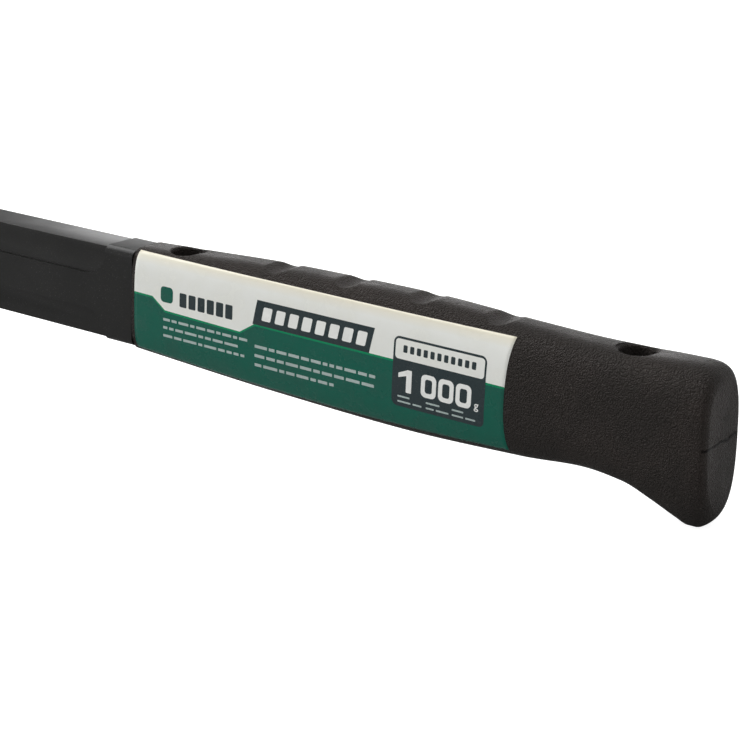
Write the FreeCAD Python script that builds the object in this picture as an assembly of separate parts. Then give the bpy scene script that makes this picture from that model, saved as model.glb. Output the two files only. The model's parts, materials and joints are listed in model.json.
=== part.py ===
import FreeCAD, Part
import math
import os

V = FreeCAD.Vector

# Rock hammer. While it is modelled the handle lies along +X with the eye's centre at the origin,
# the pick points to +Z and the striking face to -Z. At the end the whole hammer is tipped
# until it stands on the edge of its face and the heel of its grip. All lengths in mm.

# Head
head_height = 42.0        # along the handle
cheek_width = 36.0        # across both cheeks
cheek_length = 50.0       # from the poll neck to the root of the pick
cheek_chamfer = 4.0
face_drop = 60.0          # handle axis to striking face
face_side = 32.0
face_block = 11.0         # depth of the square block behind the face
face_chamfer = 2.5
poll_neck_side = 28.0
poll_corner = 4.5
pick_rise = 122.0         # handle axis to the tip
pick_root_x = 34.0        # size of the pick's root along the handle
pick_root_y = 30.0
pick_root_rise = 9.0      # height of the slope from the cheeks to the pick's root
pick_steps = 6
pick_tip_side = 4.0
pick_droop = 9.0          # how far the tip leans towards the grip
pick_corner_share = 0.18  # corner radius of the pick's section, of its side

# Neck jacket: the hard moulding around the rods
neck_height = 28.8
neck_thick = 14.8
neck_corner = 1.4
collar_x = 94.8           # eye centre to the front of the collar
collar_length = 10.9
collar_grow = 0.6         # how far the collar stands proud of the neck on every side
collar_corner = 2.6
flute_depth = 0.9
rib_top = 4.9             # the raised rib between the flutes, above and below the axis
rib_bottom = 6.2
flute_corner = 9.0
shoulder_length = 9.0     # flare below the head
shoulder_grow = 2.6
tenon_gap = 1.5           # thickness of the damping sleeve around the tenon
tenon_height = 27.0
tenon_thick = 13.2
flange_thick = 2.0        # sleeve's flange between head and shoulder
flange_grow = 1.6

# Core of the grip, rods and their plates
core_height = 23.4
core_thick = 11.8
core_corner = 3.0
rod_diameter = 4.2
rod_rows = (-2.95, 2.95)            # across the handle
rod_columns = (-8.0, 0.0, 8.0)      # up the handle
rod_head_diameter = 5.6
rod_head_length = 1.8
lock_plate_thick = 3.0
lock_plate_grow = 2.5     # past the eye on every side
foot_plate_thick = 3.0
spacer_thick = 3.0
spacer_inset = 0.7        # jacket left around a spacer
damper_length = 8.0

# Grip
grip_length = 189.7
grip_tail = 12.0          # rubber behind the damper
heel_tilt = 3.5           # degrees by which the end face leans out at the heel
flare_length = 34.0       # stretch over which the lower edge flares to the heel
end_round = 1.6
section_points = 32
section_step = 8.0        # spacing of the sections that the grip is skinned over
end_zone = 9.0            # stretch before the butt with closer sections
end_step = 1.5
surface_step = 0.05       # fineness of the points used to find what touches the ground
finger_pitch = 24.8
finger_count = 4
first_finger = 50.9       # from the grip's front end to the first scoop
finger_radius = 6.5
finger_depth = 1.4
front_pocket = 15.5       # from the grip's front end
front_pocket_diameter = 10.6
rear_pocket = 25.4        # from the butt
rear_pocket_diameter = 9.6

# Label
label_thick = 0.3
label_front = 1.3         # from the grip's front end
label_length = 131.8
label_top = 15.4
label_drops = (14.7, 17.3, 16.2)      # lower edge at its front, middle and rear
label_bow = 1.6           # how far the rear edge is hollowed
label_bulge = 0.4         # how far the front edge bows out

grip_x = collar_x + collar_length
butt_x = grip_x + grip_length
damper_x = butt_x - grip_tail - damper_length
foot_x = damper_x - foot_plate_thick

# place along the handle, half thickness, rise over the axis, drop under it, squareness
grip_stations = (
    (grip_x, 8.2, 15.9, 16.1, 5.0),
    (grip_x + 20.0, 8.5, 17.0, 17.3, 4.2),
    (grip_x + 52.0, 8.8, 18.6, 18.8, 3.7),
    (grip_x + 97.0, 9.3, 19.2, 19.7, 3.4),
    (butt_x - flare_length - 20.0, 9.8, 17.8, 18.3, 3.2),
    (butt_x - flare_length, 10.3, 17.2, 16.5, 3.3),
    (butt_x - 24.0, 10.7, 17.2, 17.4, 3.4),
    (butt_x - 16.0, 11.0, 17.5, 20.3, 3.3),
    (butt_x - end_zone, 11.2, 17.8, 23.7, 3.0),
    (butt_x - 6.2, 11.2, 17.9, 24.9, 2.9),
    (butt_x - 4.2, 11.2, 17.8, 24.9, 2.85),
    (butt_x - 2.3, 11.0, 17.3, 23.9, 2.8),
    (butt_x - 1.0, 10.7, 16.4, 22.4, 2.75),
    (butt_x, 10.2, 15.3, 20.8, 2.7),
)


def rounded_section(x, half_y, half_z, radius, middle_y=0.0, middle_z=0.0):
    # closed wire across the handle: a rectangle with round corners
    bend = radius * (1.0 - math.sqrt(0.5))
    at = lambda y, z: V(x, middle_y + y, middle_z + z)
    edges = []
    corners = ((1, 1), (-1, 1), (-1, -1), (1, -1))
    for index, (side_y, side_z) in enumerate(corners):
        on_side = at(side_y * half_y, side_z * (half_z - radius))
        on_end = at(side_y * (half_y - radius), side_z * half_z)
        middle = at(side_y * (half_y - bend), side_z * (half_z - bend))
        start, stop = (on_side, on_end) if index % 2 == 0 else (on_end, on_side)
        edges.append(Part.Arc(start, middle, stop).toShape())
        next_y, next_z = corners[(index + 1) % 4]
        if index % 2 == 0:
            far = at(next_y * (half_y - radius), next_z * half_z)
        else:
            far = at(next_y * half_y, next_z * (half_z - radius))
        edges.append(Part.makeLine(stop, far))
    return Part.Wire(edges)


def bar(x, length, height, thick, radius):
    section = rounded_section(x, thick / 2, height / 2, radius)
    return Part.Face(section).extrude(V(length, 0, 0))


def corner_square(z, side_x, side_y, corner, middle_x=0.0):
    # closed wire across the head: a rectangle with cut corners
    half_x, half_y = side_x / 2, side_y / 2
    ring = ((half_x, half_y - corner), (half_x - corner, half_y),
            (corner - half_x, half_y), (-half_x, half_y - corner),
            (-half_x, corner - half_y), (corner - half_x, -half_y),
            (half_x - corner, -half_y), (half_x, corner - half_y))
    points = [V(middle_x + px, py, z) for px, py in ring]
    return Part.makePolygon(points + points[:1])


def cheek_block():
    block = corner_square(-cheek_length / 2, head_height, cheek_width, cheek_chamfer)
    return Part.Face(block).extrude(V(0, 0, cheek_length))


def poll():
    poll_top = -cheek_length / 2
    block_top = face_chamfer - face_drop + face_block
    neck_bottom = block_top + (poll_top - block_top) * 0.35
    neck_top = block_top + (poll_top - block_top) * 0.7
    rings = (
        corner_square(poll_top, head_height - cheek_chamfer, cheek_width - cheek_chamfer, poll_corner),
        corner_square(neck_top, poll_neck_side, poll_neck_side, poll_corner),
        corner_square(neck_bottom, poll_neck_side, poll_neck_side, poll_corner),
        corner_square(block_top, face_side, face_side, poll_corner),
        corner_square(face_chamfer - face_drop, face_side, face_side, poll_corner),
        corner_square(-face_drop, face_side - 2 * face_chamfer, face_side - 2 * face_chamfer,
                      poll_corner - face_chamfer / 2),
    )
    return Part.makeLoft(list(rings), True, True)


def pick():
    root = cheek_length / 2
    shoulder_x, shoulder_y = head_height - cheek_chamfer, cheek_width - cheek_chamfer / 2
    rings = [corner_square(root, shoulder_x, shoulder_y, pick_corner_share * shoulder_y)]
    for step in range(pick_steps + 1):
        share = step / pick_steps
        side_x = pick_root_x + (pick_tip_side - pick_root_x) * share
        side_y = pick_root_y + (pick_tip_side - pick_root_y) * share
        z = root + pick_root_rise + (pick_rise - root - pick_root_rise) * share
        rings.append(corner_square(z, side_x, side_y, pick_corner_share * min(side_x, side_y),
                                   pick_droop * share ** 2))
    return Part.makeLoft(rings, True, True)


def eye_cut(grow, x, length):
    return bar(x, length, tenon_height + 2 * grow, tenon_thick + 2 * grow, core_corner + grow)


def hammer_head():
    solid = cheek_block().fuse([poll(), pick()]).removeSplitter()
    return solid.cut(eye_cut(tenon_gap, -head_height, 2 * head_height))


def eye_sleeve():
    tube = eye_cut(tenon_gap, -head_height / 2, head_height)
    flange = eye_cut(tenon_gap + flange_grow, head_height / 2, flange_thick)
    return tube.fuse(flange).removeSplitter().cut(eye_cut(0, -head_height, 2 * head_height))


def rod_places():
    return [(y, z) for z in rod_columns for y in rod_rows]


def spring_rod(y, z):
    start = -head_height / 2 - lock_plate_thick
    stop = damper_x
    along = V(1, 0, 0)
    shank = Part.makeCylinder(rod_diameter / 2, stop - start, V(start, y, z), along)
    top_head = Part.makeCone(rod_head_diameter / 2 - 0.8, rod_head_diameter / 2, rod_head_length,
                             V(start - rod_head_length, y, z), along)
    foot_head = Part.makeCylinder(rod_head_diameter / 2, rod_head_length, V(stop, y, z), along)
    return shank.fuse([top_head, foot_head]).removeSplitter()


def all_rods():
    return Part.makeCompound([spring_rod(y, z) for y, z in rod_places()])


def plain_rods(x, length):
    # rod shanks without their heads, to cut the holes they pass through
    return [Part.makeCylinder(rod_diameter / 2, length, V(x, y, z), V(1, 0, 0))
            for y, z in rod_places()]


def lock_plate():
    grow = tenon_gap + lock_plate_grow
    plate = eye_cut(grow, -head_height / 2 - lock_plate_thick, lock_plate_thick)
    return plate.cut(plain_rods(-head_height, head_height))


def core_bar(x, length, inset=0.0):
    return bar(x, length, core_height - 2 * inset, core_thick - 2 * inset, core_corner)


def foot_plate():
    return core_bar(foot_x, foot_plate_thick).cut(plain_rods(foot_x, foot_plate_thick))


def spacer_x(index):
    return (grip_x + first_finger - finger_pitch, foot_x - 2 * finger_pitch)[index]


def rod_spacer(index):
    x = spacer_x(index)
    return core_bar(x, spacer_thick, spacer_inset).cut(plain_rods(x, spacer_thick))


def damper():
    return core_bar(damper_x, damper_length).cut(all_rods())


def flute(side_y, side_z):
    # one shallow recess along the neck; it opens to the neck's edge, and both inner corners are round
    start = head_height / 2 + flange_thick + shoulder_length
    rib = rib_top if side_z > 0 else rib_bottom
    outer = neck_height / 2 + collar_grow
    bend = flute_corner * (1.0 - math.sqrt(0.5))
    at = lambda x, z: V(x, side_y * (neck_thick / 2 - flute_depth), side_z * z)
    front, rear = start, collar_x
    outline = Part.Wire([
        Part.makeLine(at(front, outer), at(front, rib + flute_corner)),
        Part.Arc(at(front, rib + flute_corner), at(front + bend, rib + bend),
                 at(front + flute_corner, rib)).toShape(),
        Part.makeLine(at(front + flute_corner, rib), at(rear - flute_corner, rib)),
        Part.Arc(at(rear - flute_corner, rib), at(rear - bend, rib + bend),
                 at(rear, rib + flute_corner)).toShape(),
        Part.makeLine(at(rear, rib + flute_corner), at(rear, outer)),
        Part.makeLine(at(rear, outer), at(front, outer)),
    ])
    return Part.Face(outline).extrude(V(0, side_y * 2 * flute_depth, 0))


def shoulder():
    start = head_height / 2 + flange_thick
    wide = rounded_section(start, neck_thick / 2 + shoulder_grow, neck_height / 2 + shoulder_grow,
                           neck_corner + shoulder_grow)
    slim = rounded_section(start + shoulder_length, neck_thick / 2, neck_height / 2, neck_corner)
    return Part.makeLoft([wide, slim], True, True)


def neck_jacket():
    tenon = eye_cut(0, -head_height / 2, head_height + flange_thick)
    neck_start = head_height / 2 + flange_thick + shoulder_length
    neck = bar(neck_start, collar_x - neck_start, neck_height, neck_thick, neck_corner)
    neck = neck.cut([flute(side_y, side_z) for side_y in (-1, 1) for side_z in (-1, 1)])
    collar = bar(collar_x, collar_length, neck_height + 2 * collar_grow,
                 neck_thick + 2 * collar_grow, collar_corner)
    core = core_bar(grip_x, foot_x - grip_x)
    solid = tenon.fuse([shoulder(), neck, collar, core]).removeSplitter()
    hollows = plain_rods(-head_height, foot_x + 2 * head_height)
    hollows += [core_bar(spacer_x(index), spacer_thick, spacer_inset) for index in (0, 1)]
    return solid.cut(hollows)


def slope(index, column):
    # slope of the grip's outline at a station: level at a peak, and never steeper than its sides
    if index == 0 or index == len(grip_stations) - 1:
        near = (index, index + 1) if index == 0 else (index - 1, index)
        first, second = grip_stations[near[0]], grip_stations[near[1]]
        return (second[column] - first[column]) / (second[0] - first[0])
    before, here, after = grip_stations[index - 1:index + 2]
    rise_in = (here[column] - before[column]) / (here[0] - before[0])
    rise_out = (after[column] - here[column]) / (after[0] - here[0])
    if rise_in * rise_out <= 0:
        return 0.0
    return 2 * rise_in * rise_out / (rise_in + rise_out)


def grip_size(x):
    # half thickness, rise, drop and squareness at one place, smooth through the stations
    index = max(i for i, station in enumerate(grip_stations[:-1]) if station[0] <= x)
    here, after = grip_stations[index], grip_stations[index + 1]
    span = after[0] - here[0]
    t = (x - here[0]) / span
    size = []
    for column in range(1, 5):
        value = here[column] * (1 + 2 * t) * (1 - t) ** 2 + after[column] * t * t * (3 - 2 * t)
        value += slope(index, column) * span * t * (1 - t) ** 2
        value -= slope(index + 1, column) * span * t * t * (1 - t)
        size.append(value)
    return size


def grip_section(x, inset=0.0, tilt=0.0):
    # closed smooth wire: an oval squared off by its squareness, its drop and rise unequal
    half_y, rise, drop, squareness = grip_size(x)
    points = []
    for step in range(section_points):
        angle = 2 * math.pi * step / section_points
        across, up = math.cos(angle), math.sin(angle)
        reach = (abs(across) ** squareness + abs(up) ** squareness) ** (-1 / squareness)
        z = ((rise if up > 0 else drop) - inset) * reach * up
        points.append(V(x - z * math.tan(math.radians(tilt)), (half_y - inset) * reach * across, z))
    curve = Part.BSplineCurve()
    curve.interpolate(Points=points, PeriodicFlag=True)
    return Part.Wire([curve.toShape()])


def grip_form(inset=0.0):
    count = round((grip_length - end_zone) / section_step)
    places = [grip_x + (grip_length - end_zone) * index / count for index in range(count)]
    count = round(end_zone / end_step)
    places += [butt_x - end_zone + end_zone * index / count for index in range(count + 1)]
    wires = []
    for x in places:
        tilt = heel_tilt * max(0.0, 1 - (butt_x - x) / flare_length)
        wires.append(grip_section(x, inset, tilt))
    return Part.makeLoft(wires, True, False)


def end_rounded(form):
    far = [edge for edge in form.Edges
           if edge.BoundBox.XMin > butt_x - cheek_width / 4 and edge.BoundBox.YLength > cheek_width / 4]
    return form.makeFillet(end_round, far)


def finger_scoop(index):
    x = grip_x + first_finger + index * finger_pitch
    z = grip_size(x)[1] - finger_depth + finger_radius
    return Part.makeCylinder(finger_radius, 2 * neck_height, V(x, -neck_height, z), V(0, 1, 0))


def pocket(x, diameter):
    # blind hole in the upper edge, down to the core
    return Part.makeCylinder(diameter / 2, 2 * neck_height, V(x, 0, core_height / 2))


def label_prism(side_y):
    front = grip_x + label_front
    rear = front + label_length
    at = lambda x, z: V(x, 0, z)
    front_drop, middle_drop, rear_drop = [-drop for drop in label_drops]
    front_level, rear_level = (label_top + front_drop) / 2, (label_top + rear_drop) / 2
    top_front, top_rear = at(front + label_bulge, label_top), at(rear, label_top)
    low_front, low_rear = at(front + label_bulge, front_drop), at(rear, rear_drop)
    outline = Part.Wire([
        Part.makeLine(top_front, top_rear),
        Part.Arc(top_rear, at(rear - label_bow, rear_level), low_rear).toShape(),
        Part.Arc(low_rear, at((front + rear) / 2, middle_drop), low_front).toShape(),
        Part.Arc(low_front, at(front, front_level), top_front).toShape(),
    ])
    return Part.Face(outline).extrude(V(0, side_y * neck_height, 0))


def label_bed(side_y, inner):
    # everything outside the label's seat on one side of the grip
    return label_prism(side_y).cut(inner)


def grip(outer, beds):
    form = end_rounded(outer)
    cuts = [finger_scoop(index) for index in range(finger_count)]
    cuts += [pocket(grip_x + front_pocket, front_pocket_diameter),
             pocket(butt_x - rear_pocket, rear_pocket_diameter)]
    cuts += [core_bar(grip_x, damper_x + damper_length - grip_x)]
    return form.cut(cuts + beds)


def lowest(points, tilt):
    # level of the lowest point after a turn about Y
    lift, lean = math.cos(math.radians(tilt)), math.sin(math.radians(tilt))
    return min(point.z * lift - point.x * lean for point in points)


def surface_points(shape):
    return shape.tessellate(surface_step)[0]


def resting_tilt(head, held):
    # turn about Y at which the face's edge and the heel come down to one level
    head_points, held_points = surface_points(head), surface_points(held)
    low, high = -45.0, 45.0
    for _ in range(30):
        middle = (low + high) / 2
        if lowest(head_points, middle) < lowest(held_points, middle):
            low = middle
        else:
            high = middle
    return (low + high) / 2


def build():
    outer, inner = grip_form(), grip_form(label_thick)
    beds = [label_bed(side_y, inner) for side_y in (-1, 1)]
    pieces = {
        "hammer_head": hammer_head(),
        "eye_sleeve": eye_sleeve(),
        "lock_plate": lock_plate(),
        "neck_jacket": neck_jacket(),
        "foot_plate": foot_plate(),
        "butt_damper": damper(),
        "label_left": outer.common(beds[0]),
        "label_right": outer.common(beds[1]),
    }
    for index, (y, z) in enumerate(rod_places()):
        pieces["spring_rod_%d" % (index + 1)] = spring_rod(y, z)
    for index in (0, 1):
        pieces["rod_spacer_%d" % (index + 1)] = rod_spacer(index)
    pieces["grip"] = grip(outer, beds)
    return pieces


def place(pieces):
    tilt = resting_tilt(pieces["hammer_head"], pieces["grip"])
    for shape in pieces.values():
        shape.rotate(V(0, 0, 0), V(0, 1, 0), tilt)
    points = [point for shape in pieces.values() for point in surface_points(shape)]
    spans = [(min(axis), max(axis)) for axis in zip(*[(p.x, p.y, p.z) for p in points])]
    shift = V(-sum(spans[0]) / 2, -sum(spans[1]) / 2, -spans[2][0])
    for shape in pieces.values():
        shape.translate(shift)
    print("tilt %.4f, eye centre %.3f %.3f %.3f" % (tilt, shift.x, shift.y, shift.z))
    print("size %.2f %.2f %.2f" % tuple(high - low for low, high in spans))


def export(pieces):
    os.makedirs("parts", exist_ok=True)
    for name, shape in pieces.items():
        assert shape.isValid() and len(shape.Solids) == 1, name
        shape.Solids[0].exportStep("parts/%s.step" % name)
        print("%-14s %9.1f mm3" % (name, shape.Volume))


pieces = build()
place(pieces)
export(pieces)
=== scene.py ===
import bpy
import bmesh
import json
import math
import random
from mathutils import Matrix, Quaternion, Vector


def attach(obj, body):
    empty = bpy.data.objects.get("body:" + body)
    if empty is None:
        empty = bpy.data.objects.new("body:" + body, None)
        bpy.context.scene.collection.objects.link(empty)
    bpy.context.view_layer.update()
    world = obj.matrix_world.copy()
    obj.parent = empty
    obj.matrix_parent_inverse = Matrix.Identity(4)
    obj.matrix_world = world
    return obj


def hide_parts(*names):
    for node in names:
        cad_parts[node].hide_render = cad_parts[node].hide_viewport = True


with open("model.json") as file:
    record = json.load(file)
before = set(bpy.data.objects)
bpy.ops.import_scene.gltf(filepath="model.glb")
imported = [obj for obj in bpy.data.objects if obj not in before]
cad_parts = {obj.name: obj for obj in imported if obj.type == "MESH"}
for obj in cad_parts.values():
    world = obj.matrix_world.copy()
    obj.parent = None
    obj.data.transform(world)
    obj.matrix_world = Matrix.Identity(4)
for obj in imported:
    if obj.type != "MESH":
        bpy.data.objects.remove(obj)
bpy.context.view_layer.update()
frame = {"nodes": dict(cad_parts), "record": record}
print("frame loaded:", len(frame["nodes"]), "nodes")

# The hammer stands tipped, so its pieces are modelled in millimetres along a level handle
# (x towards the butt, z towards the pick, origin in the eye) and then put into place.
faceDrop = 60.0
faceMount = frame["record"]["mounts"][0]
down = Vector(faceMount["axis"]).normalized()
along = Vector((-down.z, 0, down.x))
eyeCentre = Vector(faceMount["pos_m"]) - down * faceDrop / 1000
turnOnly = Matrix((along, Vector((0, 1, 0)), -down)).transposed().to_4x4()
handleFrame = Matrix.Translation(eyeCentre) @ turnOnly @ Matrix.Scale(0.001, 4)
tiltAngle = math.atan2(-down.x, -down.z)


# ---------- helpers shared by the pieces

def soften(value, low, high):
    t = min(max((value - low) / (high - low), 0), 1)
    return t * t * (3 - 2 * t)


def skin(bm, segments, places, pointAt, startAngle=0.0):
    # one ring after another, each vert remembering its angle round the ring
    angleLayer = bm.verts.layers.float.new("angle")
    ring = bmesh.ops.create_circle(bm, segments=segments, radius=1)["verts"]
    edges = list({edge for vert in ring for edge in vert.link_edges})
    firstEdges = edges
    for vert in ring:
        vert[angleLayer] = math.atan2(vert.co.y, vert.co.x) + startAngle
    for count, place in enumerate(places):
        if count:
            grown = bmesh.ops.extrude_edge_only(bm, edges=edges)["geom"]
            ring = [item for item in grown if isinstance(item, bmesh.types.BMVert)]
            inRing = set(ring)
            edges = [item for item in grown if isinstance(item, bmesh.types.BMEdge)
                     and all(vert in inRing for vert in item.verts)]
        for vert in ring:
            vert.co = pointAt(place, vert[angleLayer])
    for loop in (firstEdges, edges):
        bmesh.ops.contextual_create(bm, geom=loop)
    return bm


def finishPiece(name, bm, nodes, materials, sharp=35, place=True):
    bmesh.ops.recalc_face_normals(bm, faces=bm.faces)
    if place:
        bmesh.ops.transform(bm, matrix=handleFrame, verts=bm.verts)
    mesh = bpy.data.meshes.new(name)
    bm.to_mesh(mesh)
    bm.free()
    for face in mesh.polygons:
        face.use_smooth = True
    mesh.set_sharp_from_angle(angle=math.radians(sharp))
    piece = bpy.data.objects.new(name, mesh)
    bpy.context.scene.collection.objects.link(piece)
    for material in materials:
        mesh.materials.append(material)
    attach(piece, "root")
    if nodes:
        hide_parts(*nodes)
    return piece


def addBevel(piece, width, segments=3, angle=30):
    bevel = piece.modifiers.new("softEdges", "BEVEL")
    bevel.width = width / 1000
    bevel.segments = segments
    bevel.limit_method = "ANGLE"
    bevel.angle_limit = math.radians(angle)
    bevel.harden_normals = True
    bevel.miter_outer = "MITER_ARC"


def cutWith(piece, cutters):
    # cutters are taken out for good, so the piece keeps one plain mesh
    for cutter in cutters:
        boolean = piece.modifiers.new("cut", "BOOLEAN")
        boolean.operation = "DIFFERENCE"
        boolean.solver = "EXACT"
        boolean.object = cutter
    bpy.context.view_layer.update()
    cutMesh = bpy.data.meshes.new_from_object(piece.evaluated_get(bpy.context.evaluated_depsgraph_get()))
    piece.modifiers.clear()
    oldMesh, piece.data = piece.data, cutMesh
    cutMesh.name = oldMesh.name
    bpy.data.meshes.remove(oldMesh)
    for cutter in cutters:
        bpy.data.meshes.remove(cutter.data)


def roundBar(bm, startX, length, thick, height, corner, segments=6):
    # bar along the handle with four round edges
    made = bmesh.ops.create_cube(bm, size=1)["verts"]
    bmesh.ops.scale(bm, vec=(length, thick, height), verts=made)
    bmesh.ops.translate(bm, vec=(startX + length / 2, 0, 0), verts=made)
    longEdges = [edge for edge in {e for vert in made for e in vert.link_edges}
                 if abs(edge.verts[0].co.x - edge.verts[1].co.x) > length / 2]
    bmesh.ops.bevel(bm, geom=longEdges, offset=corner, segments=segments, profile=0.5,
                    affect="EDGES", material=-1)
    return bm


def cutterFrom(bm):
    bmesh.ops.recalc_face_normals(bm, faces=bm.faces)
    bmesh.ops.transform(bm, matrix=handleFrame, verts=bm.verts)
    mesh = bpy.data.meshes.new("cutter")
    bm.to_mesh(mesh)
    bm.free()
    cutter = bpy.data.objects.new("cutter", mesh)
    bpy.context.scene.collection.objects.link(cutter)
    return cutter


def softenedCopy(name, nodeName, materials, width, segments=3, angle=30):
    # the CAD node's own shape with its doubles merged and its hard edges broken
    bm = bmesh.new()
    bm.from_mesh(frame["nodes"][nodeName].data)
    bmesh.ops.remove_doubles(bm, verts=bm.verts, dist=0.000002)
    bmesh.ops.dissolve_limit(bm, angle_limit=math.radians(0.6), use_dissolve_boundaries=False,
                             verts=bm.verts, edges=bm.edges)
    piece = finishPiece(name, bm, [nodeName], materials, place=False)
    addBevel(piece, width, segments, angle)


# ---------- shader groups

def newGroup(name, inputs, outputs):
    group = bpy.data.node_groups.new(name, "ShaderNodeTree")
    for label, kind, value in inputs:
        socket = group.interface.new_socket(name=label, in_out="INPUT", socket_type="NodeSocket" + kind)
        if value is not None:
            socket.default_value = value
    for label, kind in outputs:
        group.interface.new_socket(name=label, in_out="OUTPUT", socket_type="NodeSocket" + kind)
    return group, group.nodes.new("NodeGroupInput"), group.nodes.new("NodeGroupOutput")


def node(tree, kind, **settings):
    made = tree.nodes.new("ShaderNode" + kind)
    for key, value in settings.items():
        if hasattr(made, key):
            setattr(made, key, value)
        else:
            made.inputs[key].default_value = value
    return made


def ramp(tree, source, low, high, lowValue=(0, 0, 0, 1), highValue=(1, 1, 1, 1)):
    made = tree.nodes.new("ShaderNodeValToRGB")
    made.color_ramp.elements[0].position = low
    made.color_ramp.elements[1].position = high
    made.color_ramp.elements[0].color = lowValue
    made.color_ramp.elements[1].color = highValue
    tree.links.new(source, made.inputs["Fac"])
    return made.outputs["Color"]


def mixColor(tree, factor, first, second):
    made = tree.nodes.new("ShaderNodeMix")
    made.data_type = "RGBA"
    # the node keeps its colour sockets after those for plain values and vectors
    for value, index in ((factor, 0), (first, 6), (second, 7)):
        if isinstance(value, bpy.types.NodeSocket):
            tree.links.new(value, made.inputs[index])
        else:
            made.inputs[index].default_value = value
    return made.outputs[2]


def math2(tree, operation, first, second=None, third=None, clamp=False):
    made = tree.nodes.new("ShaderNodeMath")
    made.operation = operation
    made.use_clamp = clamp
    for index, value in enumerate((first, second, third)):
        if value is None:
            continue
        if isinstance(value, bpy.types.NodeSocket):
            tree.links.new(value, made.inputs[index])
        else:
            made.inputs[index].default_value = value
    return made.outputs[0]


def buildPebbleGroup():
    # moulded pebble grain: rounded cells with finer grit over them
    group, into, out = newGroup(
        "moulded pebble",
        [("Vector", "Vector", None), ("Cell size", "Float", 0.0006), ("Depth", "Float", 0.0001),
         ("Strength", "Float", 0.6), ("Unevenness", "Float", 0.5)],
        [("Normal", "Vector"), ("Painted glint", "Float")])
    link = group.links.new
    scale = math2(group, "DIVIDE", 1.0, into.outputs["Cell size"])
    warp = node(group, "TexNoise", Scale=900.0, Detail=2.0)
    link(into.outputs["Vector"], warp.inputs["Vector"])
    warpAmount = node(group, "VectorMath", operation="SCALE", Scale=0.0005)
    link(warp.outputs["Color"], warpAmount.inputs[0])
    warped = node(group, "VectorMath", operation="ADD")
    link(into.outputs["Vector"], warped.inputs[0])
    link(warpAmount.outputs[0], warped.inputs[1])
    cells = node(group, "TexVoronoi", feature="SMOOTH_F1", Smoothness=0.6)
    link(warped.outputs[0], cells.inputs["Vector"])
    link(scale, cells.inputs["Scale"])
    grit = node(group, "TexNoise", Scale=4200.0, Detail=3.0, Roughness=0.6)
    link(into.outputs["Vector"], grit.inputs["Vector"])
    patches = node(group, "TexNoise", Scale=160.0, Detail=3.0)
    link(into.outputs["Vector"], patches.inputs["Vector"])
    domes = math2(group, "SUBTRACT", 1.0, cells.outputs["Distance"])
    rough = math2(group, "MULTIPLY", grit.outputs["Fac"], into.outputs["Unevenness"])
    height = math2(group, "ADD", domes, rough)
    height = math2(group, "ADD", height, math2(group, "MULTIPLY", patches.outputs["Fac"], 0.25))
    bump = node(group, "Bump")
    link(into.outputs["Strength"], bump.inputs["Strength"])
    link(into.outputs["Depth"], bump.inputs["Distance"])
    link(height, bump.inputs["Height"])
    # a few painted highlights: light specks standing in for glints on the tops of the pebbles
    dots = node(group, "TexVoronoi", feature="F1", Scale=700.0)
    link(into.outputs["Vector"], dots.inputs["Vector"])
    picked = math2(group, "GREATER_THAN", dots.outputs["Color"], 0.8)
    paintedGlint = math2(group, "MULTIPLY", math2(group, "LESS_THAN", dots.outputs["Distance"], 0.15), picked)
    link(bump.outputs["Normal"], out.inputs["Normal"])
    link(paintedGlint, out.inputs["Painted glint"])
    return group


def buildWearGroup():
    # slow patches of handling: a mask for rubbed areas and one for dust
    group, into, out = newGroup(
        "handling marks",
        [("Vector", "Vector", None), ("Patch size", "Float", 0.02), ("Amount", "Float", 0.4)],
        [("Rubbed", "Float"), ("Dust", "Float"), ("Scratch", "Float")])
    link = group.links.new
    scale = math2(group, "DIVIDE", 1.0, into.outputs["Patch size"])
    patches = node(group, "TexNoise", Detail=5.0, Roughness=0.55)
    link(into.outputs["Vector"], patches.inputs["Vector"])
    link(scale, patches.inputs["Scale"])
    rubbed = math2(group, "MULTIPLY", ramp(group, patches.outputs["Fac"], 0.42, 0.68), into.outputs["Amount"])
    grains = node(group, "TexNoise", Scale=2600.0, Detail=2.0)
    link(into.outputs["Vector"], grains.inputs["Vector"])
    dust = math2(group, "MULTIPLY", ramp(group, grains.outputs["Fac"], 0.63, 0.74),
                 ramp(group, patches.outputs["Fac"], 0.36, 0.60))
    stretch = node(group, "Mapping")
    stretch.inputs["Rotation"].default_value = (0.0, tiltAngle, 0.4)
    stretch.inputs["Scale"].default_value = (60.0, 2400.0, 2400.0)
    link(into.outputs["Vector"], stretch.inputs["Vector"])
    lines = node(group, "TexNoise", Scale=1.0, Detail=1.0)
    link(stretch.outputs["Vector"], lines.inputs["Vector"])
    scratch = math2(group, "MULTIPLY", ramp(group, lines.outputs["Fac"], 0.70, 0.76), into.outputs["Amount"])
    link(rubbed, out.inputs["Rubbed"])
    link(dust, out.inputs["Dust"])
    link(scratch, out.inputs["Scratch"])
    return group


def buildGrindGroup():
    # fine lines left by grinding, running across the tool
    group, into, out = newGroup(
        "grinding lines",
        [("Vector", "Vector", None), ("Line width", "Float", 0.0003), ("Depth", "Float", 0.00002)],
        [("Normal", "Vector"), ("Streak", "Float")])
    link = group.links.new
    stretch = node(group, "Mapping")
    stretch.inputs["Scale"].default_value = (1.0, 0.02, 1.0)
    link(into.outputs["Vector"], stretch.inputs["Vector"])
    lines = node(group, "TexNoise", Detail=4.0, Roughness=0.7)
    link(stretch.outputs["Vector"], lines.inputs["Vector"])
    link(math2(group, "DIVIDE", 1.0, into.outputs["Line width"]), lines.inputs["Scale"])
    bump = node(group, "Bump", Strength=0.5)
    link(lines.outputs["Fac"], bump.inputs["Height"])
    link(into.outputs["Depth"], bump.inputs["Distance"])
    link(bump.outputs["Normal"], out.inputs["Normal"])
    link(lines.outputs["Fac"], out.inputs["Streak"])
    return group


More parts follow.
